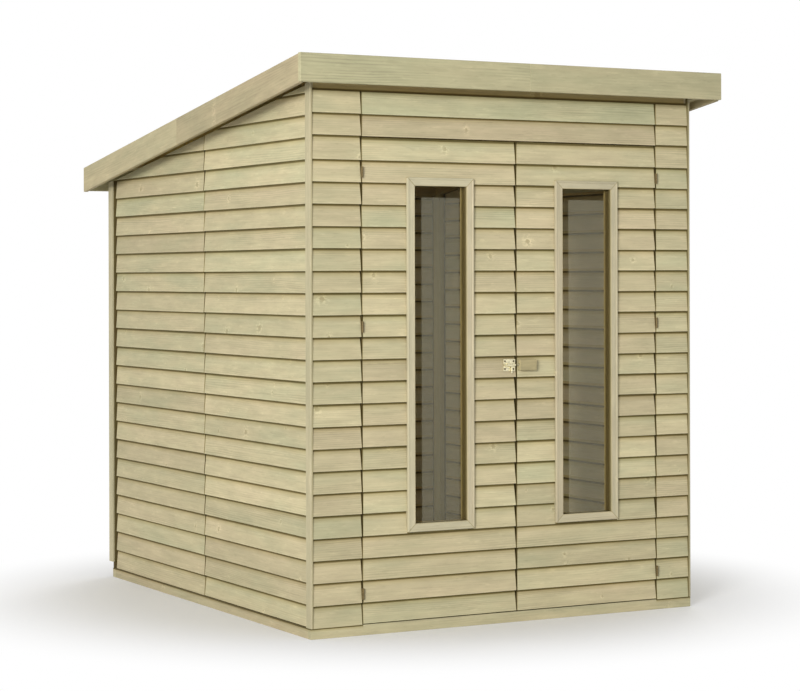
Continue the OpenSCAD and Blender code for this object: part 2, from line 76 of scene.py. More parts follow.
rim_lo, rim_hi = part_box("floor_rim")
FLOOR_TOP = rim_hi.z
HEADER_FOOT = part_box("header_panel")[0].z
WALL_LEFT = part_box("left_wall_front_panel")[0].x
WALL_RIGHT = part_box("right_wall_front_panel")[1].x
WALL_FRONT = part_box("front_left_panel")[0].y
WALL_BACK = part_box("back_wall_left_panel")[1].y
DOORS_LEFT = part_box("left_door_boards")[0].x
DOORS_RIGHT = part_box("right_door_boards")[1].x

X = Vector((1, 0, 0))
Y = Vector((0, 1, 0))
Z = Vector((0, 0, 1))


# Timber: boards as swept sections with their grain and tone kept on the mesh

HUE_SPREAD = 0.15
LIGHT_SPREAD = 0.20
GRAIN_REACH = 60
SLOW_BEND = 1.9
QUICK_BEND = 5.3
ROUNDING = 0.8
FULL_LIGHT = 0.05


def chamfered(width, thick, cut):
    """A rectangle from the origin with its corners cut off, as (across, out) points."""
    return [
        (cut, 0), (width - cut, 0), (width, cut), (width, thick - cut),
        (width - cut, thick), (cut, thick), (0, thick - cut), (0, cut),
    ]


class Timber:
    """Gathers boards into one mesh."""

    def __init__(self, seed, painted_light_shift=0.0):
        """Its second argument says how much lighter or darker its boards are than usual, as painted light or
        shade.
        """
        self.rng = random.Random(seed)
        self.painted_light_shift = painted_light_shift
        self.verts = []
        self.faces = []
        self.grain = []
        self.tone = []
        self.edge = []

    def new_tone(self):
        """Hue from green to pink, lightness, and how strongly the grain shows."""
        hue = min(1.0, max(0.0, self.rng.gauss(0.5, HUE_SPREAD)))
        light = min(1.0, max(0.0, self.rng.gauss(0.5 + self.painted_light_shift, LIGHT_SPREAD)))
        return (hue, light, self.rng.random())

    def sweep(self, origin, along, across, out, length, section,
              start_cut=(0, 0), end_cut=(0, 0), bevel=0.0006, step=0.15, wave=0.0, tone=None,
              shaded=None, marks=()):
        """Runs a closed section along a board. A cut shifts the end by so much per metre across and out.
        Keeps, at each point, its distance from the board's end, its distance out of the shade as worked out
        by shaded, and its distance across. Marks are more places along the board that get points."""
        tone = tone or self.new_tone()
        shift = Vector([self.rng.uniform(0, GRAIN_REACH) for _ in range(3)])
        phase = self.rng.uniform(0, GRAIN_REACH)
        mid = Vector((sum(p[0] for p in section), sum(p[1] for p in section))) / len(section)
        count = max(2, round((length - 2 * bevel) / step))
        stations = [0.0] + [bevel + (length - 2 * bevel) * i / count for i in range(count + 1)] + [length]
        stations = sorted(stations + [m for m in marks if bevel < m < length - bevel])
        first = len(self.verts)
        for k, s in enumerate(stations):
            end = k in (0, len(stations) - 1)
            t = s / length
            for a, o in section:
                if end:
                    a += (mid.x - a) / max(abs(mid.x - a), 1e-6) * bevel * ROUNDING
                    o += (mid.y - o) / max(abs(mid.y - o), 1e-6) * bevel * ROUNDING
                run = s
                run += (1 - t) * (start_cut[0] * a + start_cut[1] * o)
                run += t * (end_cut[0] * a + end_cut[1] * o)
                bow = wave * (math.sin(SLOW_BEND * s + phase) + 0.5 * math.sin(QUICK_BEND * s + 2 * phase))
                at = origin + along * run + across * (a + bow * 0.5) + out * o
                self.verts.append(at)
                self.grain.append((run + shift.x, a + shift.y, o + shift.z))
                self.tone.append(tone)
                deep = shaded(at) if shaded else 1.0
                self.edge.append((min(s, length - s), deep, a))
        n = len(section)
        for k in range(len(stations) - 1):
            for i in range(n):
                j = (i + 1) % n
                a0 = first + k * n
                a1 = a0 + n
                self.faces.append((a0 + i, a0 + j, a1 + j, a1 + i))
        self.faces.append(tuple(first + i for i in reversed(range(n))))
        last = first + (len(stations) - 1) * n
        self.faces.append(tuple(last + i for i in range(n)))

    def box(self, lo, hi, axis, cut=0.0012, tone=None, **more):
        """A straight timber that fills a box, with its grain along one axis (0, 1 or 2)."""
        axes = [X, Y, Z]
        along = axes[axis]
        across = axes[(axis + 1) % 3]
        out = axes[(axis + 2) % 3]
        size = Vector(hi) - Vector(lo)
        section = chamfered(size[(axis + 1) % 3], size[(axis + 2) % 3], cut)
        self.sweep(Vector(lo), along, across, out, size[axis], section, tone=tone, **more)

    def build(self, name, body, material, replaces=(), keep_under=None):
        """Makes the object, cuts it off above a plane where one is given, and rides it on its body."""
        mesh = bpy.data.meshes.new(name)
        mesh.from_pydata([tuple(v) for v in self.verts], [], self.faces)
        for label, rows in (("grain", self.grain), ("tone", self.tone), ("edge", self.edge)):
            layer = mesh.attributes.new(label, "FLOAT_VECTOR", "POINT")
            layer.data.foreach_set("vector", [c for row in rows for c in row])
        bm = bmesh.new()
        bm.from_mesh(mesh)
        if keep_under:
            point, normal = keep_under
            cut = bmesh.ops.bisect_plane(
                bm, geom=bm.verts[:] + bm.edges[:] + bm.faces[:],
                plane_co=point, plane_no=normal, clear_outer=True,
            )
            rim = [e for e in cut["geom_cut"] if isinstance(e, bmesh.types.BMEdge)]
            bmesh.ops.holes_fill(bm, edges=rim, sides=0)
        bmesh.ops.recalc_face_normals(bm, faces=bm.faces)
        bm.to_mesh(mesh)
        bm.free()
        mesh.materials.append(material)
        piece = bpy.data.objects.new(name, mesh)
        bpy.context.scene.collection.objects.link(piece)
        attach(piece, body)
        if replaces:
            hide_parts(*replaces)
        return piece


def loose_boxes(node):
    """The low and high corner of each separate solid in a node."""
    bm = bmesh.new()
    bm.from_mesh(nodes[node].data)
    bmesh.ops.remove_doubles(bm, verts=bm.verts, dist=1e-5)
    left = set(bm.verts)
    boxes = []
    while left:
        stack = [left.pop()]
        part = list(stack)
        while stack:
            for edge in stack.pop().link_edges:
                for v in edge.verts:
                    if v in left:
                        left.discard(v)
                        stack.append(v)
                        part.append(v)
        lo = Vector(min(v.co[i] for v in part) for i in range(3))
        hi = Vector(max(v.co[i] for v in part) for i in range(3))
        boxes.append((lo, hi))
    bm.free()
    return sorted(boxes, key=lambda b: tuple(round(c, 4) for c in b[0]))


def longest_axis(lo, hi):
    size = hi - lo
    return max(range(3), key=lambda i: size[i])


def dress(material, *names):
    """Gives nodes of the model, which keep their shape, a material."""
    for name in names:
        mesh = nodes[name].data
        mesh.materials.clear()
        mesh.materials.append(material)


# Materials

def linear(r, g, b):
    """A colour given in display values from 0 to 255, as scene values."""
    def channel(c):
        c /= 255
        return c / 12.92 if c <= 0.04045 else ((c + 0.055) / 1.055) ** 2.4
    return (channel(r), channel(g), channel(b), 1)


class Shader:
    """Short calls for building a node tree."""

    def __init__(self, name):
        self.material = bpy.data.materials.new(name)
        self.material.use_nodes = True
        self.tree = self.material.node_tree
        self.surface = self.tree.nodes["Principled BSDF"]

    def put(self, socket, value):
        if isinstance(value, bpy.types.NodeSocket):
            self.tree.links.new(value, socket)
        else:
            socket.default_value = value

    def node(self, kind, output=0, settings=None, **inputs):
        node = self.tree.nodes.new("ShaderNode" + kind)
        for key, value in (settings or {}).items():
            setattr(node, key, value)
        for key, value in inputs.items():
            self.put(node.inputs[key.replace("_", " ")], value)
        return node.outputs[output]

    def math(self, operation, a, b=0.0, clamp=False):
        node = self.tree.nodes.new("ShaderNodeMath")
        node.operation = operation
        node.use_clamp = clamp
        self.put(node.inputs[0], a)
        self.put(node.inputs[1], b)
        return node.outputs[0]

    def product(self, first, *others):
        for other in others:
            first = self.math("MULTIPLY", first, other)
        return first

    def total(self, first, *others):
        """The sum of some values, each given with its weight."""
        whole = self.product(*first)
        for other in others:
            whole = self.math("ADD", whole, self.product(*other))
        return whole

    def attribute(self, name):
        node = self.tree.nodes.new("ShaderNodeAttribute")
        node.attribute_name = name
        return node.outputs["Vector"]

    def place(self):
        return self.tree.nodes.new("ShaderNodeTexCoord").outputs["Object"]

    def split(self, vector):
        node = self.tree.nodes.new("ShaderNodeSeparateXYZ")
        self.put(node.inputs[0], vector)
        return node.outputs

    def join(self, x, y, z):
        return self.node("CombineXYZ", X=x, Y=y, Z=z)

    def noise(self, vector, detail=2.0, rough=0.5, scale=1.0):
        return self.node("TexNoise", Vector=vector, Scale=scale, Detail=detail, Roughness=rough)

    def pattern(self, grain, waves, detail=2.0, rough=0.5):
        """Noise with so many waves per metre along a board and across it."""
        along, across = waves
        node = self.tree.nodes.new("ShaderNodeVectorMath")
        node.operation = "MULTIPLY"
        self.put(node.inputs[0], grain)
        node.inputs[1].default_value = (along, across, across)
        return self.noise(node.outputs[0], detail, rough)

    def mix(self, factor, a, b, blend="MIX"):
        node = self.tree.nodes.new("ShaderNodeMix")
        node.data_type = "RGBA"
        node.blend_type = blend
        self.put(node.inputs[0], factor)
        self.put(node.inputs[6], a)
        self.put(node.inputs[7], b)
        return node.outputs[2]

    def lit(self, colour, light):
        return self.mix(1.0, colour, self.join(light, light, light), "MULTIPLY")

    def span(self, value, low, high, to_low=0.0, to_high=1.0, smooth=True):
        """Carries a value that runs from low to high over to another range, and stops at its ends."""
        node = self.tree.nodes.new("ShaderNodeMapRange")
        node.interpolation_type = "SMOOTHSTEP" if smooth else "LINEAR"
        self.put(node.inputs[0], value)
        for index, number in enumerate((low, high, to_low, to_high)):
            self.put(node.inputs[index + 1], number)
        return node.outputs[0]

    def bump(self, height, distance, strength=1.0):
        self.put(
            self.surface.inputs["Normal"],
            self.node("Bump", Height=height, Distance=distance, Strength=strength),
        )


# Wood: patterns as waves per metre along and across a board, and how much light each leaves

KNOTS_ALONG = 3.1
KNOTS_ACROSS = 12.0
KNOT_RADII = (0.0035, 0.0115)
LEAST_RADIUS = 0.0002
KNOT_STRETCH = (0.5, 2.2)
KNOT_EDGE = (70.0, 110.0)
KNOT_STRENGTH = 0.5
HALO_SHEEN = 1.22
RING_DRIFT = (0.8, 6.0)
RING_WANDER = (3.2, 30.0)
RING_PATCH = (1.6, 22.0)
RING_RATE = 860.0
RING_SHARPNESS = 2.2
RING_DEPTH = (0.05, 0.19)
NICK = (24.0, 190.0)
NICK_DEPTH = 0.09
FIBRE = (9.0, 420.0)
FIBRE_LIGHT = (0.95, 1.05)
STREAK = (5.0, 90.0)
STREAK_LIGHT = (0.91, 1.08)
CLOUD = (7.0, 26.0)
CLOUD_LIGHT = (0.93, 1.07)
BLOTCH = (2.2, 9.0)
BLOTCH_LIGHT = (0.94, 1.06)
BLOTCH_HUE = 1.3
FLECK = (14.0, 60.0)
FLECK_LIGHT = (0.985, 1.09)
BOARD_LIGHT = (0.86, 1.10)
# Painted highlight along the lap edge of a board: how far up it reaches and how much lighter it makes the
# wood
EDGE_HIGHLIGHT_REACH = 0.008
PAINTED_EDGE_HIGHLIGHT = 1.08
GRAIN_HEIGHT = 0.0009

# Shade close to other timber: how far it reaches, and how much light it takes or leaves

SOFT_REACH = 0.032
SOFT_SHADE = 0.32
SHARP_REACH = 0.0115
SHARP_FULL = 0.0055
SHARP_SHADE = 0.74
BEHIND = (-0.0004, -0.0012)
END_REACH = (0.0022, 0.0004)
LAP_LINE = (0.024, 0.016)
LAP_LINE_LIGHT = 0.45
SHADE_TINT = (1.22, 1.04, 0.44, 1)

# Painted shade: what faces the room is darker and browner than the outside

SKIN = 0.0095
EDGE_TOP = (0.012, 0.010)
ROOM_PAINTED_SHADE = (0.88, 0.80, 0.58, 1)
PLAIN = (1, 1, 1, 1)

KNOT = linear(126, 108, 68)


def knots(s, grain, strength, share):
    """Knots, the halo of slanted grain round each, and how that halo shines. Each cell of a stretched grid
    has one place for a knot, and share says in how many of the cells there is one."""
    u, v, _ = s.split(grain)
    u_cell = s.product(u, KNOTS_ALONG)
    v_cell = s.product(v, KNOTS_ACROSS)
    voronoi = s.tree.nodes.new("ShaderNodeTexVoronoi")
    voronoi.voronoi_dimensions = "2D"
    voronoi.inputs["Scale"].default_value = 1.0
    s.put(voronoi.inputs["Vector"], s.join(u_cell, v_cell, 0.0))
    chance = s.split(voronoi.outputs["Color"])[0]
    spot = s.split(voronoi.outputs["Position"])
    ragged = s.pattern(grain, KNOT_EDGE, detail=3.0, rough=0.6)
    du = s.math("DIVIDE", s.math("SUBTRACT", u_cell, spot[0]), KNOTS_ALONG)
    dv = s.math("DIVIDE", s.math("SUBTRACT", v_cell, spot[1]), KNOTS_ACROSS)
    squash = s.product(du, du, s.span(strength, 0.0, 1.0, *KNOT_STRETCH, smooth=False))
    away = s.math("SQRT", s.math("ADD", squash, s.product(dv, dv)))
    away = s.product(away, s.span(ragged, 0.3, 0.7, 0.5, 1.5, smooth=False))
    shown = s.span(chance, 1 - share, 1 - share + 0.02)
    radius = s.product(shown, s.span(chance, 1 - share, 1.0, *KNOT_RADII))
    near = s.math("DIVIDE", away, s.math("MAXIMUM", radius, LEAST_RADIUS))
    knot = s.product(s.span(near, 1.15, 0.75), s.span(ragged, 0.38, 0.60, 0.35, 1.0))
    halo = s.span(near, 5.0, 0.9)
    return knot, halo, s.product(halo, s.span(ragged, 0.42, 0.60))


def growth_rings(s, grain, halo):
    """Dark lines where the wood grew late. They follow the distance across the board, bent slowly along it
    and pushed aside by knots, and they fade in patches."""
    _, v, w = s.split(grain)
    drift = s.pattern(grain, RING_DRIFT, detail=1.0)
    wander = s.pattern(grain, RING_WANDER)
    across = s.total((v, 0.8), (w, 0.6), (drift, 0.035), (wander, 0.012), (halo, 0.010))
    wave = s.math("SINE", s.product(across, RING_RATE))
    late = s.math("POWER", s.math("ADD", s.product(wave, 0.5), 0.5), RING_SHARPNESS)
    return s.product(late, s.span(s.pattern(grain, RING_PATCH), 0.38, 0.66))


def light_beside_timber(s, distance, shade, reach):
    """The light left at a distance from other timber: a sharp shade next to it within a soft one. Where the
    distance is below nought, behind that timber, the light is full again."""
    soft = s.span(distance, SOFT_REACH * reach, 0.0, 0.0, SOFT_SHADE * shade)
    sharp = s.span(distance, SHARP_REACH * reach, SHARP_FULL * reach, 0.0, SHARP_SHADE * shade)
    light = s.product(s.math("SUBTRACT", 1.0, soft), s.math("SUBTRACT", 1.0, sharp))
    return s.math("MAXIMUM", light, s.span(distance, *BEHIND))


def faces_the_room(s):
    """One on what faces the room, nought outside the walls and on the floor's edge."""
    x, y, z = s.split(s.place())
    return s.product(
        s.span(x, WALL_LEFT + SKIN, WALL_LEFT + BOARD_NOSE),
        s.span(x, WALL_RIGHT - SKIN, WALL_RIGHT - BOARD_NOSE),
        s.span(y, WALL_FRONT + SKIN, WALL_FRONT + BOARD_NOSE),
        s.span(y, WALL_BACK - SKIN, WALL_BACK - BOARD_NOSE),
        s.span(z, FLOOR_TOP - EDGE_TOP[0], FLOOR_TOP - EDGE_TOP[1]),
    )


def wood(name, hues, knot_share=0.24, grain_depth=1.0, rough=0.72, shade=0.0, reach=1.0, ends=(1.0, 1.0),
         lapped=False):
    """Softwood whose grain follows each board. hues are its green, straw and pink boards. shade darkens it as
    painted shade where it lies close under another board, reach says how far, and ends gives the least and
    most light at its ends. lapped boards have a painted shade line on the inside too, where the top of the
    board below ends. Every timber is a little lighter along one long edge, the lap edge of a board, as a
    painted highlight."""
    s = Shader(name)
    green, straw, pink = [linear(*hue) for hue in hues]
    grain = s.attribute("grain")
    hue, lightness, strength = s.split(s.attribute("tone"))
    to_end, to_shade, across = s.split(s.attribute("edge"))
    knot, halo, sheen = knots(s, grain, strength, knot_share)
    rings = growth_rings(s, grain, halo)
    nick = s.span(s.pattern(grain, NICK), 0.60, 0.72)
    fibre = s.pattern(grain, FIBRE, detail=3.0, rough=0.65)
    streak = s.pattern(grain, STREAK, detail=4.0, rough=0.6)
    blotch = s.pattern(grain, BLOTCH, detail=3.0, rough=0.55)
    cloud = s.pattern(grain, CLOUD, detail=3.0, rough=0.55)
    fleck = s.span(s.pattern(grain, FLECK, detail=4.0, rough=0.65), 0.54, 0.74)

    hue = s.math("ADD", hue, s.product(s.math("SUBTRACT", blotch, 0.5), BLOTCH_HUE), clamp=True)
    base = s.mix(s.span(hue, 0.0, 0.5, smooth=False), green, straw)
    base = s.mix(s.span(hue, 0.5, 1.0, smooth=False), base, pink)

    ring_depth = s.product(rings, s.span(strength, 0.0, 1.0, *RING_DEPTH, smooth=False))
    light = s.product(
        s.span(lightness, 0.0, 1.0, *BOARD_LIGHT, smooth=False),
        s.span(blotch, 0.3, 0.7, *BLOTCH_LIGHT, smooth=False),
        s.span(cloud, 0.3, 0.7, *CLOUD_LIGHT, smooth=False),
        s.span(streak, 0.25, 0.75, *STREAK_LIGHT, smooth=False),
        s.span(fleck, 0.0, 1.0, *FLECK_LIGHT),
        s.span(fibre, 0.2, 0.8, *FIBRE_LIGHT, smooth=False),
        s.math("SUBTRACT", 1.0, s.product(ring_depth, grain_depth)),
        s.span(nick, 0.0, 1.0, 1.0, 1 - NICK_DEPTH * grain_depth),
        s.span(sheen, 0.0, 1.0, 1.0, HALO_SHEEN),
        # painted highlight along the lap edge
        s.span(across, EDGE_HIGHLIGHT_REACH, 0.0, 1.0, PAINTED_EDGE_HIGHLIGHT),
    )

    keep = s.span(to_end, *END_REACH, 1.0, s.span(strength, 0.25, 0.85, *ends))
    if shade:
        keep = s.product(keep, light_beside_timber(s, to_shade, shade, reach))
    room = faces_the_room(s)
    # Painted shade line on the inside of lapped boards, where the top of the board below ends
    if lapped:
        line = s.product(s.span(across, BOARD_LAP - 0.002, BOARD_LAP), s.span(across, *LAP_LINE), room)
        keep = s.product(keep, s.span(line, 0.0, 1.0, 1.0, LAP_LINE_LIGHT))

    colour = s.lit(base, light)
    colour = s.mix(s.product(knot, KNOT_STRENGTH), colour, KNOT)
    colour = s.lit(colour, keep)
    colour = s.mix(1.0, colour, s.mix(s.math("MINIMUM", keep, 1.0), SHADE_TINT, PLAIN), "MULTIPLY")
    # Painted shade on what faces the room
    colour = s.mix(1.0, colour, s.mix(room, PLAIN, ROOM_PAINTED_SHADE), "MULTIPLY")
    s.put(s.surface.inputs["Base Color"], colour)
    s.surface.inputs["Roughness"].default_value = rough
    s.surface.inputs["Specular IOR Level"].default_value = 0.25
    height = s.math("SUBTRACT", s.total((fibre, 0.5), (streak, 0.7)), s.product(rings, 0.25))
    s.bump(height, GRAIN_HEIGHT * grain_depth, 0.5)
    return s.material


def metal(name, colour, rough, speckle=0.12):
    """Plated steel, a little dulled and mottled."""
    s = Shader(name)
    mottle = s.noise(s.place(), detail=4.0, scale=160.0)
    tint = s.span(mottle, 0.3, 0.7, 1 - speckle, 1 + speckle, smooth=False)
    s.put(s.surface.inputs["Base Color"], s.lit(colour, tint))
    s.surface.inputs["Metallic"].default_value = 0.85
    s.put(s.surface.inputs["Roughness"], s.span(mottle, 0.3, 0.7, rough - 0.08, rough + 0.1))
    s.bump(mottle, 0.0002, 0.4)
    return s.material


boarding = wood(
    "boarding", [(192, 189, 151), (198, 187, 149), (197, 182, 147)], shade=1.0, ends=(0.14, 0.60),
    lapped=True)
fascia_boards = wood(
    "fascia_boards", [(164, 164, 129), (172, 167, 132), (172, 163, 129)], knot_share=0.2, grain_depth=1.1,
    ends=(1.16, 1.26))
barge_boards = wood(
    "barge_boards", [(171, 164, 130), (175, 163, 129), (177, 160, 128)], knot_share=0.2, grain_depth=1.1,
    ends=(1.0, 1.1))
soffit_boards = wood(
    "roof_boarding", [(190, 184, 140), (194, 180, 136), (190, 170, 126)], grain_depth=1.2, rough=0.8)
planed = wood(
    "planed_timber", [(189, 183, 152), (193, 184, 153), (192, 180, 150)], knot_share=0.10, grain_depth=0.8,
    rough=0.62, shade=0.9, reach=0.4, ends=(0.50, 0.60))
strip_timber = wood(
    "corner_strip_timber", [(178, 172, 139), (182, 173, 140), (181, 169, 137)], knot_share=0.12,
    grain_depth=0.8, rough=0.66, shade=1.0, reach=0.35)
keep_timber = wood(
    "keep_block_timber", [(162, 152, 115), (163, 150, 112), (162, 147, 111)], knot_share=0.05,
    grain_depth=0.8, ends=(1.12, 1.18))
sawn = wood(
    "sawn_framing", [(176, 172, 136), (184, 173, 138), (178, 160, 128)], knot_share=0.35, grain_depth=1.2,
    rough=0.8, shade=1.0)
bolt_metal = metal("bolt_metal", linear(228, 220, 186), 0.42, 0.35)
screw_metal = metal("screw_metal", linear(96, 84, 56), 0.5)
hinge_metal = metal("hinge_metal", linear(112, 97, 66), 0.55, 0.3)


def mineral_felt():
    """Green-grey roofing felt with a coarse mineral face."""
    s = Shader("mineral_felt")
    grit = s.noise(s.place(), detail=3.0, rough=0.8, scale=520.0)
    cloud = s.noise(s.place(), detail=3.0, scale=2.2)
    tint = s.product(s.span(grit, 0.3, 0.72, 0.72, 1.25, smooth=False), s.span(cloud, 0.2, 0.8, 0.92, 1.08))
    s.put(s.surface.inputs["Base Color"], s.lit(linear(104, 110, 102), tint))
    s.surface.inputs["Roughness"].default_value = 0.93
    s.bump(grit, 0.0012, 0.7)
    return s.material


# Glass: the bloom fades in over these distances from the left side, the right side and the top of its
# opening; near the left side and the top, its absence is a painted shadow of the trim

PAINTED_SHADOW_LEFT = (0.039, 0.044)
BLOOM_RIGHT = (0.014, 0.034)
PAINTED_SHADOW_TOP = (0.042, 0.050)
CLEAR_ALPHA = 0.005
BLOOM_ALPHA = 0.10


def glazing(name, lo, hi):
    """Clear sheet with a thin bloom on its face, left out near the left side and the top of the opening as a
    painted shadow of the trim, and near the right side. lo and hi are the corners of the opening.
    """
    s = Shader(name)
    x, _, z = s.split(s.place())
    bloom = s.product(
        s.span(x, lo.x + PAINTED_SHADOW_LEFT[0], lo.x + PAINTED_SHADOW_LEFT[1]),
        s.span(x, hi.x - BLOOM_RIGHT[0], hi.x - BLOOM_RIGHT[1]),
        s.span(z, hi.z - PAINTED_SHADOW_TOP[0], hi.z - PAINTED_SHADOW_TOP[1]),
    )
    s.surface.inputs["Base Color"].default_value = linear(196, 192, 166)
    s.surface.inputs["Roughness"].default_value = 0.04
    s.put(s.surface.inputs["Alpha"], s.span(bloom, 0.0, 1.0, CLEAR_ALPHA, BLOOM_ALPHA))
    return s.material


# Lap boards

SLACK = 0.001
WAVER = 0.0006
EDGE_CUT = 0.0011
TRIM_OVERLAP = 0.004
TRIM_MARK = 0.0008
HEADER_DROP = 0.0022
DOOR_DROP = 0.0028
STRIP_SHADOW_GAP = 0.006
HEAD_CLEAR = 0.007
SEAM_ROOM = 0.0016
CORNER_BAND = 0.2
LAP_SPREAD = 0.0012
END_SPREAD = 0.0010
END_SKEW = (0.015, 0.055)
WIDE_ROOM = 0.003
WIDE_SKEW = 0.014
# Painted shade: the boards of the front left panel are made darker than usual
LEFT_PANEL_PAINTED_SHADE = -0.32


def lap_section(height, lap):
    """One board of a wall in section: across is up from its lap edge, out is inwards from the lap edge's
    face. Above the next lap edge it runs on behind the board over it."""
    lean = (BOARD_NOSE - BOARD_THIN) / height
    top = height + lap
    return [
        (0, EDGE_CUT), (0, BOARD_BODY), (top, min(BOARD_NOSE, BOARD_BODY + lean * top)),
        (top, lean * top), (height, lean * height), (EDGE_CUT, lean * EDGE_CUT),
    ]


def lap_course(timber, start, along, inward, length, height, tone=None, lap=BOARD_LAP, skew=(0.0, 0.0),
               trim=None, clear=0.0):
    """Lays one board with its lap edge at start, running along, with the wall's framing to the inside. skew
    draws its ends in towards the top. trim is the box of a window trim that stands over the board. clear is
    how far the next piece of timber is above the board's top."""
    wander = timber.rng.uniform(-LAP_SPREAD, LAP_SPREAD)
    top = start.z + height + clear
    marks = []
    if trim:
        marks = [corner.x + d - start.x for corner in trim for d in (-TRIM_MARK, TRIM_MARK)]

    # Distance below the next timber, for the painted shade under each lap; under a window trim the shade line
    # is just above the trim's foot, and clear raises it for the top course
    def below_timber(at):
        under_trim = trim and trim[0].x < at.x < trim[1].x
        return (trim[0].z + TRIM_OVERLAP if under_trim else top) - at.z

    timber.sweep(
        start + Z * wander, along, Z, inward, length, lap_section(height - wander, lap), step=0.12,
        wave=WAVER, tone=tone, start_cut=(skew[0], 0), end_cut=(-skew[1], 0), shaded=below_timber,
        marks=marks,
    )


def courses(foot, head, tall=False):
    """Foot and height of each course of a wall. The front wall has one taller course, at the doors' heads."""
    edges = []
    z = foot
    while z < head - SLACK:
        edges.append(z)
        z = HEADER_FOOT if tall and len(edges) == DOOR_COURSES else z + BOARD_PITCH
    return [(a, b - a) for a, b in zip(edges, edges[1:] + [head])]


def board_ends(timber, low, high, low_room, high_room):
    """Where a board starts and stops: a little off its line, and drawn in towards its top. Room is how far
    each end reaches on past its line at the board's foot; an end without room is left straight."""
    ends = []
    skew = []
    for value, room, sign in ((low, low_room, -1), (high, high_room, 1)):
        loose = 1.0 if room else 0.0
        ends.append(value + sign * room + loose * timber.rng.uniform(-END_SPREAD, END_SPREAD))
        skew.append(loose * timber.rng.uniform(*END_SKEW) + (WIDE_SKEW if room > WIDE_ROOM else 0.0))
    return ends[0], ends[1], skew


def boarded_panel(name, node, side, keep_under=None):
    """A wall panel of courses. side is the way the wall faces: 'front', 'back', 'left' or 'right'."""
    lo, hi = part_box(node)
    timber = Timber("boards " + node, painted_light_shift=LEFT_PANEL_PAINTED_SHADE if node == "front_left_panel" else 0.0)
    rows = courses(lo.z, hi.z, tall=side == "front" and lo.z < FLOOR_TOP + BOARD_PITCH)
    across = 0 if side in ("front", "back") else 1
    low, high = lo[across], hi[across]
    low_room = 0.0 if low < cad_box[0][across] + CORNER_BAND else SEAM_ROOM
    high_room = 0.0 if high > cad_box[1][across] - CORNER_BAND else SEAM_ROOM
    if across == 1 and not low_room:
        low += STRIP_SHADOW_GAP
    if across == 1 and not high_room:
        high -= STRIP_SHADOW_GAP
    for z, height in rows:
        last = (z, height) == rows[-1]
        start, stop, skew = board_ends(timber, low, high, low_room, high_room)
        if name == "header_boards" and z == rows[0][0]:
            z -= HEADER_DROP
            height += HEADER_DROP
        if across == 0:
            face = lo.y if side == "front" else hi.y
            at, along, inward = Vector((start, face, z)), X, Y if side == "front" else -Y
        else:
            face = lo.x if side == "left" else hi.x
            at, along, inward = Vector((face, start, z)), Y, X if side == "left" else -X
        lap_course(timber, at, along, inward, stop - start, height, lap=0.0 if last else BOARD_LAP,
                   skew=skew, clear=HEAD_CLEAR if last else 0.0)
    return timber.build(name, "root", boarding, replaces=[node], keep_under=keep_under)


wall_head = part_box("left_wall_front_panel")
head_point = Vector((0, wall_head[0].y, wall_head[1].z))
roof_normal = Vector((0, ROOF_SLOPE, 1)).normalized()
under_roof = (head_point, roof_normal)

boarded_panel("front_left_boards", "front_left_panel", "front")
boarded_panel("front_right_boards", "front_right_panel", "front")
boarded_panel("header_boards", "header_panel", "front")
for side in ("left", "right"):
    for part in ("front", "rear"):
        boarded_panel(f"{side}_wall_{part}_boards", f"{side}_wall_{part}_panel", side, under_roof)
for part in ("left", "right"):
    boarded_panel(f"back_wall_{part}_boards", f"back_wall_{part}_panel", "back", under_roof)


# Doors

HOLE_LAP = 0.010
HOLE_SLACK = 0.002
TRIM_W = 0.034
HINGE_ROOM = 0.0008
MEETING_ROOM = 0.0040
REVEAL_DEPTH = 0.0082
FRAME_SHARE = 0.35


def door_boards(side):
    """The courses of one door, cut round its window."""
    node = f"{side}_door_boards"
    lo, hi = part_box(node)
    trim_lo, trim_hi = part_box(f"{side}_window_trim")
    hole_x0 = trim_lo.x + TRIM_W - HOLE_LAP
    hole_x1 = trim_hi.x - TRIM_W + HOLE_LAP
    hole_z0 = trim_lo.z + TRIM_W - HOLE_LAP
    hole_z1 = trim_hi.z - TRIM_W + HOLE_LAP
    timber = Timber("boards " + node)
    rooms = (HINGE_ROOM, MEETING_ROOM) if side == "left" else (MEETING_ROOM, HINGE_ROOM)
    for z, height in courses(FLOOR_TOP, hi.z, tall=True):
        foot = max(z, lo.z - DOOR_DROP)
        height += z - foot
        tone = timber.new_tone()
        x0, x1, skew = board_ends(timber, lo.x, hi.x, *rooms)
        lap = BOARD_LAP if foot + height < hi.z - SLACK else 0.0
        trim = (trim_lo, trim_hi) if foot < trim_lo.z < foot + height + TRIM_OVERLAP else None
        at_left = Vector((x0, lo.y, foot))
        at_hole = Vector((hole_x0, lo.y, foot))
        at_right = Vector((hole_x1, lo.y, foot))
        if foot + height - HOLE_SLACK < hole_z0 or foot > hole_z1 - HOLE_SLACK:
            lap_course(timber, at_left, X, Y, x1 - x0, height, tone, lap, skew, trim)
            continue
        lap_course(timber, at_left, X, Y, hole_x0 - x0, height, tone, skew=(skew[0], 0.0), trim=trim)
        lap_course(timber, at_right, X, Y, x1 - hole_x1, height, tone, skew=(0.0, skew[1]), trim=trim)
        if foot < hole_z0 - BOARD_LAP:
            lap_course(timber, at_hole, X, Y, hole_x1 - hole_x0, hole_z0 - foot, tone, 0.0, trim=trim)
    timber.build(f"{side}_door_boarding", f"{side}_door", boarding, replaces=[node])


def trim_profile(width, thick):
    """A small rebated moulding: an edge that runs back to the glass, a flat face and a raised outer lip."""
    back = -0.0086
    rebate = 0.0092
    points = [(0, back), (0, thick - 0.0030), (0.0008, thick - 0.0012), (0.0028, thick - 0.0008)]
    points += [(width * 0.66, thick - 0.0018), (width * 0.72, thick - 0.0024), (width * 0.76, thick - 0.0004)]
    points += [(width * 0.82, thick), (width * 0.93, thick - 0.0003), (width * 0.985, thick - 0.0020)]
    points += [(width, thick - 0.0050), (width, 0), (rebate, 0), (rebate, back)]
    return points


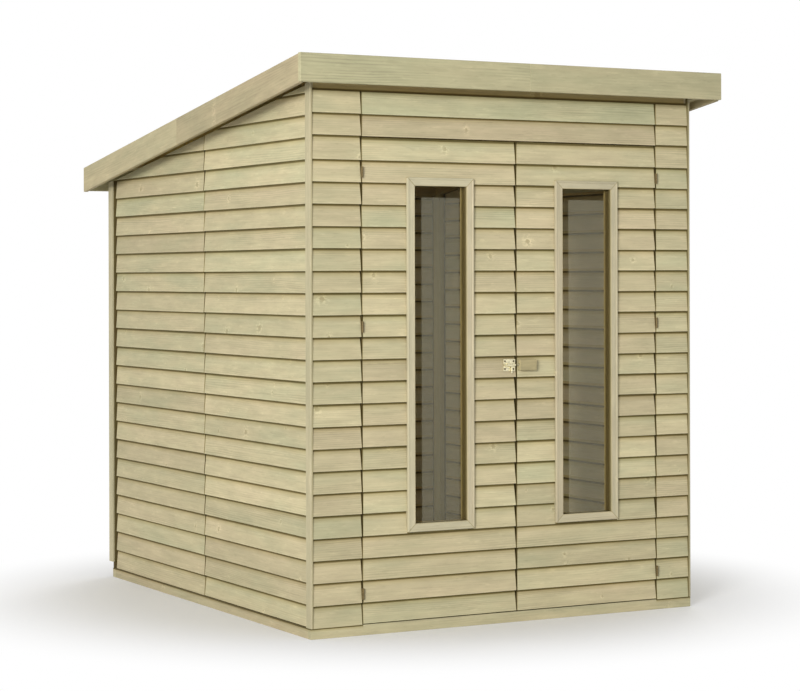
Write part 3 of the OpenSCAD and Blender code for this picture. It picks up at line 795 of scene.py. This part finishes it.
def window_trim(side):
    """Four mitred lengths of moulding round the glass."""
    node = f"{side}_window_trim"
    lo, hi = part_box(node)
    thick = hi.y - lo.y
    timber = Timber("trim " + node)
    section = trim_profile(TRIM_W, thick)
    x0, x1 = lo.x + TRIM_W, hi.x - TRIM_W
    z0, z1 = lo.z + TRIM_W, hi.z - TRIM_W
    y = hi.y

    # Painted shade on the reveal that runs back to the glass: deeper places are further in the shade, and
    # elsewhere the trim is in full light
    def out_of_reveal(at):
        within_x = lo.x + 0.5 * TRIM_W < at.x < hi.x - 0.5 * TRIM_W
        within_z = lo.z + 0.5 * TRIM_W < at.z < hi.z - 0.5 * TRIM_W
        return max(0.0, REVEAL_DEPTH - (at.y - lo.y)) if within_x and within_z else FULL_LIGHT

    mitres = {"start_cut": (-1, 0), "end_cut": (1, 0), "bevel": 0.0003, "shaded": out_of_reveal}
    timber.sweep(Vector((x0, y, z0)), X, -Z, -Y, x1 - x0, section, **mitres)
    timber.sweep(Vector((x0, y, z1)), X, Z, -Y, x1 - x0, section, **mitres)
    timber.sweep(Vector((x0, y, z0)), Z, -X, -Y, z1 - z0, section, **mitres)
    timber.sweep(Vector((x1, y, z0)), Z, X, -Y, z1 - z0, section, **mitres)
    timber.build(f"{side}_window_moulding", f"{side}_door", planed, replaces=[node])


def behind(point, inward, share=1.0):
    """Distance behind a plane that lies against other timber. A share under 1 carries the shade further."""
    return lambda at: (at - point).dot(inward) * share


def outer_face(node, side, share=1.0):
    """Distance behind the plane in which a wall's frame lies against its boards."""
    lo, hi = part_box(node)
    return behind(*{"front": (lo, Y), "back": (hi, -Y), "left": (lo, X), "right": (hi, -X)}[side], share)


def plain_timbers(name, node, body, material, **more):
    """Turns each straight solid of a node into a board with its grain along its length."""
    timber = Timber("timber " + node)
    for lo, hi in loose_boxes(node):
        timber.box(lo, hi, longest_axis(lo, hi), **more)
    return timber.build(name, body, material, replaces=[node])


for side in ("left", "right"):
    door_boards(side)
    window_trim(side)
    framing = f"{side}_door_frame"
    plain_timbers(f"{side}_door_framing", framing, f"{side}_door", sawn,
                  shaded=outer_face(framing, "front", FRAME_SHARE))
    trim_lo, trim_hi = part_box(f"{side}_window_trim")
    rim = Vector((TRIM_W, 0, TRIM_W))
    dress(glazing(f"{side}_glazing", trim_lo + rim, trim_hi - rim), f"{side}_window_glass")


# Floor

FRONT_BAND = 0.02
EDGE_SHARE = 1.9
MARK_GAP = 0.002
PLANK_GAP = 0.0014
PLANK_CUT = 0.0014
FLOOR_PLANK = 0.118
ROOF_PLANK = 0.095


def under_the_walls(at):
    """How far a place on the floor's edge boards is out of the shade of the wall boards above it."""
    if at.y < rim_lo.y + FRONT_BAND and DOORS_LEFT < at.x < DOORS_RIGHT:
        return FULL_LIGHT
    return EDGE_SHARE * (FLOOR_TOP - at.z)


edge_boards = Timber("timber floor_rim")
for lo, hi in loose_boxes("floor_rim"):
    door_marks = [x + gap - lo.x for x in (DOORS_LEFT, DOORS_RIGHT) for gap in (-MARK_GAP, MARK_GAP)]
    edge_boards.box(lo, hi, longest_axis(lo, hi), shaded=under_the_walls, marks=door_marks)
edge_boards.build("floor_edge_boards", "root", sawn, replaces=["floor_rim"])
plain_timbers("floor_joist_timbers", "floor_joists", "root", sawn)


def plank_row(name, node, material, width, drop_per_m=0.0):
    """Fills a sheet with planks along X, side by side in Y, falling to the back where it slopes."""
    lo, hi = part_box(node)
    timber = Timber("planks " + node)
    fall = (hi.y - lo.y) * drop_per_m
    thick = hi.z - lo.z - fall
    count = round((hi.y - lo.y) / width)
    step = (hi.y - lo.y) / count
    slope = Vector((0, 1, -drop_per_m))
    for i in range(count):
        y = lo.y + i * step
        z = hi.z - thick - i * step * drop_per_m
        section = chamfered(step - PLANK_GAP, thick, PLANK_CUT)
        timber.sweep(Vector((lo.x, y, z)), X, slope, Z, hi.x - lo.x, section, step=0.4)
    return timber.build(name, "root", material, replaces=[node])


plank_row("floor_planks", "floor_deck", sawn, FLOOR_PLANK)
plank_row("roof_planks", "roof_deck", soffit_boards, ROOF_PLANK, ROOF_SLOPE)


# Wall framing

RAIL_DEPTH_MOST = 0.06
RAIL_CUT = 0.0015
STUD_CUT = 0.0012
CORNER_SHARE = 0.5
BATTEN_GAP = 0.0004
BATTEN_THICK = 0.020
BATTEN_LAP = 0.030
BATTEN_MARK = 0.03
RIGHT_STRIP_LIGHT = 0.0025
LEFT_STRIP_LIGHT = 0.003

plain_timbers("front_wall_framing", "front_wall_frame", "root", sawn,
              shaded=outer_face("front_wall_frame", "front"))


def sloping_timber(timber, lo, hi, height, **more):
    """A timber along Y that follows the roof's slope, with plumb ends. lo and hi are its box."""
    section = chamfered(hi.x - lo.x, height, RAIL_CUT)
    start = Vector((lo.x, lo.y, hi.z - height))
    timber.sweep(start, Vector((0, 1, -ROOF_SLOPE)), X, Z, hi.y - lo.y, section, **more)


def topped_stud(timber, lo, hi, **more):
    """An upright whose top follows the roof's slope."""
    size = hi - lo
    section = chamfered(size.x, size.y, STUD_CUT)
    timber.sweep(lo, Z, X, Y, size.z, section, end_cut=(0, -ROOF_SLOPE), **more)


def in_the_corner(node):
    """How far the back wall's frame is out of the shade behind its boards and beyond the side walls."""
    lo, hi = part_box(node)
    depth = outer_face(node, "back")
    return lambda at: min(depth(at), CORNER_SHARE * (at.x - lo.x), CORNER_SHARE * (hi.x - at.x))


def sloping_frame(name, node, side):
    """A wall frame whose top rail and stud heads follow the roof. Its other rails are level."""
    timber = Timber("timber " + node)
    more = {"shaded": in_the_corner(node) if side == "back" else outer_face(node, side)}
    for lo, hi in loose_boxes(node):
        size = hi - lo
        if size.z < RAIL_DEPTH_MOST:
            timber.box(lo, hi, longest_axis(lo, hi), **more)
        elif size.y > size.x and size.y > size.z:
            sloping_timber(timber, lo, hi, size.z - size.y * ROOF_SLOPE, **more)
        else:
            topped_stud(timber, lo, hi, **more)
    return timber.build(name, "root", sawn, replaces=[node])


for side in ("left", "right", "back"):
    sloping_frame(f"{side}_wall_framing", f"{side}_wall_frame", side)

back_lo, back_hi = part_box("back_wall_frame")
foot = Timber("foot batten")
foot_lo = Vector((back_lo.x, rim_hi.y + BATTEN_GAP, FLOOR_TOP - BATTEN_LAP))
foot_hi = Vector((back_hi.x, rim_hi.y + BATTEN_THICK, back_lo.z - BATTEN_GAP))
foot_marks = (BATTEN_MARK, foot_hi.x - foot_lo.x - BATTEN_MARK)
foot.box(foot_lo, foot_hi, 0, shaded=in_the_corner("back_wall_frame"), marks=foot_marks)
foot_batten = foot.build("back_wall_foot_batten", "root", sawn)

plate = Timber("wall plate")
for lo, hi in loose_boxes("front_wall_plate"):
    plate.box(lo, hi, 0, shaded=behind(lo, Z))
plate.build("front_wall_beam", "root", sawn, replaces=["front_wall_plate"], keep_under=under_roof)

for end in ("front", "back"):
    strips = Timber("corner strips " + end)
    for lo, hi in loose_boxes(f"{end}_corner_strips"):
        # Painted shade along each front strip's edge beside the boards; the back strips have none
        if end == "back":
            shaded = None
        elif lo.x > 0:
            shaded = behind(lo - X * RIGHT_STRIP_LIGHT, X)
        else:
            shaded = behind(hi + X * LEFT_STRIP_LIGHT, -X)
        strips.box(lo, hi, 2, cut=0.001, shaded=shaded)
    strips.build(f"{end}_corner_boards", "root", strip_timber, replaces=[f"{end}_corner_strips"],
                 keep_under=under_roof)


# Roof: hue, lightness and strength of grain of the front and of the rear barge board

BARGE_TONES = [(0.55, 0.25, 0.5), (0.35, 1.0, 0.3)]


def sloping_set(name, node, material, tones=None):
    """Timbers that follow the roof, from left to right and front to back, each with its tone where given."""
    timber = Timber("timber " + node)
    for number, (lo, hi) in enumerate(loose_boxes(node)):
        size = hi - lo
        tone = tones[number] if tones else None
        sloping_timber(timber, lo, hi, size.z - size.y * ROOF_SLOPE, tone=tone)
    return timber.build(name, "root", material, replaces=[node])


sloping_set("roof_rafter_timbers", "roof_rafters", sawn)
sloping_set("left_barge_boards", "left_bargeboard", barge_boards, BARGE_TONES)
sloping_set("right_barge_boards", "right_bargeboard", barge_boards, BARGE_TONES)
plain_timbers("front_fascia_boards", "front_fascia", "root", fascia_boards, cut=0.002)
plain_timbers("back_fascia_boards", "back_fascia", "root", fascia_boards, cut=0.002)

dress(mineral_felt(), "roof_felt")


# Hinges and bolt

dress(hinge_metal, "left_hinges_fixed", "left_hinges_moving", "right_hinges_fixed", "right_hinges_moving")
dress(bolt_metal, "bolt_plate", "bolt_rod", "bolt_handle")

GROOVE_ROOM = 0.0011
GROOVE_LENGTH = 0.0315
PLUG_GAP = 0.0003
SCREW_RADIUS = 0.0042
SCREW_RISE = 0.0016
SCREW_SIDES = 20
SCREW_TURN = 0.4


def keep_block():
    """The wooden block that takes the rod, with a groove in its back that ends in a plug."""
    lo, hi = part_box("bolt_keep")
    rod_lo, rod_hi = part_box("bolt_rod")
    cut = 0.0012
    wide = hi.y - lo.y
    tall = hi.z - lo.z
    front = rod_lo.y - GROOVE_ROOM - lo.y
    low = rod_lo.z - GROOVE_ROOM - lo.z
    high = rod_hi.z + GROOVE_ROOM - lo.z
    section = [(cut, 0), (wide, 0), (wide, low), (front, low), (front, high), (wide, high), (wide, tall)]
    section += [(cut, tall), (0, tall - cut), (0, cut)]
    timber = Timber("timber bolt_keep")
    tone = timber.new_tone()
    timber.sweep(lo, X, Y, Z, hi.x - lo.x, section, tone=tone)
    plug_lo = lo + Vector((GROOVE_LENGTH, front, low))
    plug_hi = Vector((hi.x - PLUG_GAP, hi.y - PLUG_GAP, lo.z + high))
    timber.box(plug_lo, plug_hi, 0, tone=tone)
    timber.build("bolt_keep_block", "right_door", keep_timber, replaces=["bolt_keep"])


keep_block()


def screw(name, body, place, turned):
    """A domed screw head that faces out of the front wall."""
    profile = [(1.0, 0.0), (0.94, 0.5), (0.7, 0.85), (0.3, 1.0)]
    rings = [(SCREW_RADIUS * across, SCREW_RISE * out) for across, out in profile]
    count = SCREW_SIDES
    mesh = bpy.data.meshes.new(name)
    verts = []
    for across, out in rings:
        for i in range(count):
            angle = 2 * math.pi * i / count + turned
            verts.append(place + X * across * math.cos(angle) + Z * across * math.sin(angle) - Y * out)
    faces = []
    for k in range(len(rings) - 1):
        for i in range(count):
            j = (i + 1) % count
            faces.append((k * count + i, k * count + j, (k + 1) * count + j, (k + 1) * count + i))
    faces.append(tuple((len(rings) - 1) * count + i for i in range(count)))
    mesh.from_pydata([tuple(v) for v in verts], [], faces)
    mesh.materials.append(screw_metal)
    head = bpy.data.objects.new(name, mesh)
    bpy.context.scene.collection.objects.link(head)
    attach(head, body)


PLATE_THICK = 0.0020
FAR_INSET = 0.007
NEAR_INSET = 0.008

plate_lo, plate_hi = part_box("bolt_plate")
plate_face = plate_hi.y - PLATE_THICK
spots = [
    (x, z)
    for x in (plate_lo.x + FAR_INSET, plate_hi.x - NEAR_INSET)
    for z in (plate_lo.z + NEAR_INSET, plate_hi.z - NEAR_INSET)
]
for number, (x, z) in enumerate(spots):
    screw(f"bolt_screw_{number}", "left_door", Vector((x, plate_face, z)), SCREW_TURN * number)


# Stage: a white floor that keeps the shed's shadow near it and fades to plain white

STAGE_HALF = 60.0
STAGE_WHITE = 0.9
BOUNCE = 0.72
FADE_START = 1.1
FADE_END = 2.2


def white_stage():
    mesh = bpy.data.meshes.new("stage_floor")
    half = STAGE_HALF
    corners = [(-half, -half, 0), (half, -half, 0), (half, half, 0), (-half, half, 0)]
    mesh.from_pydata(corners, [], [(0, 1, 2, 3)])
    floor = bpy.data.objects.new("stage_floor", mesh)
    bpy.context.scene.collection.objects.link(floor)
    s = Shader("stage_white")
    tree = s.tree
    path = tree.nodes.new("ShaderNodeLightPath")
    seen = s.math("MAXIMUM", path.outputs["Is Camera Ray"], path.outputs["Is Transmission Ray"])
    seen = s.math("MAXIMUM", seen, path.outputs["Is Glossy Ray"])
    dim = (BOUNCE, BOUNCE, BOUNCE, 1)
    white = (STAGE_WHITE, STAGE_WHITE, STAGE_WHITE, 1)
    s.put(s.surface.inputs["Base Color"], s.mix(seen, dim, white))
    s.surface.inputs["Roughness"].default_value = 1.0
    s.surface.inputs["Specular IOR Level"].default_value = 0.0
    away = s.node("VectorMath", output=1, settings={"operation": "LENGTH"}, Vector=s.place())
    glow = tree.nodes.new("ShaderNodeEmission")
    glow.inputs["Strength"].default_value = 1.0
    blend = tree.nodes.new("ShaderNodeMixShader")
    s.put(blend.inputs[0], s.product(s.span(away, FADE_START, FADE_END), seen))
    s.put(blend.inputs[1], s.surface.outputs[0])
    s.put(blend.inputs[2], glow.outputs[0])
    s.put(tree.nodes["Material Output"].inputs["Surface"], blend.outputs[0])
    mesh.materials.append(s.material)


def light_world(strength):
    """An even white surround, seen as plain white."""
    world = bpy.data.worlds.new("studio")
    bpy.context.scene.world = world
    world.use_nodes = True
    tree = world.node_tree
    back = tree.nodes["Background"]
    back.inputs["Color"].default_value = (1, 1, 1, 1)
    path = tree.nodes.new("ShaderNodeLightPath")
    most = tree.nodes.new("ShaderNodeMath")
    most.operation = "MAXIMUM"
    tree.links.new(path.outputs["Is Camera Ray"], most.inputs[0])
    tree.links.new(path.outputs["Is Glossy Ray"], most.inputs[1])
    level = tree.nodes.new("ShaderNodeMapRange")
    level.inputs["To Min"].default_value = strength
    level.inputs["To Max"].default_value = 1.0
    tree.links.new(most.outputs[0], level.inputs["Value"])
    tree.links.new(level.outputs[0], back.inputs["Strength"])


def area_light(name, place, target, size, watts):
    data = bpy.data.lights.new(name, "AREA")
    data.shape = "RECTANGLE"
    data.size, data.size_y = size
    data.energy = watts
    lamp = bpy.data.objects.new(name, data)
    lamp.location = place
    lamp.visible_camera = False
    lamp.rotation_euler = (Vector(target) - Vector(place)).to_track_quat("-Z", "Y").to_euler()
    bpy.context.scene.collection.objects.link(lamp)


white_stage()
light_world(strength=0.54)
area_light("key", place=(-9.7, -9.5, 3.7), target=(0, 0, 1.1), size=(3.2, 2.6), watts=1270)
area_light("low", place=(-4.5, -4.5, 0.05), target=(-4.5, -4.5, 3.0), size=(4.0, 4.0), watts=40)
area_light("room", place=(-0.45, 0.35, 1.9), target=(-0.45, 0.35, 0.0), size=(0.8, 0.8), watts=6.5)
area_light("fill", place=(5.5, 6.0, 4.0), target=(0, 0, 1.2), size=(3.0, 3.0), watts=200)


# Camera: the photograph's place and lens, with its picture 800 by 691

PHOTO_W = 800
LENS_PX = 2226.0
CENTRE_Y_PX = 345.5
AXIS_Y_PX = 277.3
SENSOR = 36.0
YAW = math.radians(28.506)
ROLL = math.radians(-0.15)
CAMERA_PLACE = (-4.772, -8.914, 1.423)

camera_data = bpy.data.cameras.new("camera")
camera_data.sensor_width = SENSOR
camera_data.lens = SENSOR * LENS_PX / PHOTO_W
camera_data.shift_y = (AXIS_Y_PX - CENTRE_Y_PX) / PHOTO_W
camera_data.clip_end = 200
camera = bpy.data.objects.new("camera", camera_data)
ahead = Vector((math.sin(YAW), math.cos(YAW), 0))
right = Vector((math.cos(YAW), -math.sin(YAW), 0))
rolled_right = right * math.cos(ROLL) + Z * math.sin(ROLL)
rolled_up = Z * math.cos(ROLL) - right * math.sin(ROLL)
turn = Matrix((rolled_right, rolled_up, -ahead)).transposed()
camera.matrix_world = Matrix.Translation(CAMERA_PLACE) @ turn.to_4x4()
bpy.context.scene.collection.objects.link(camera)
bpy.context.scene.camera = camera

bpy.context.scene.view_settings.view_transform = "Standard"
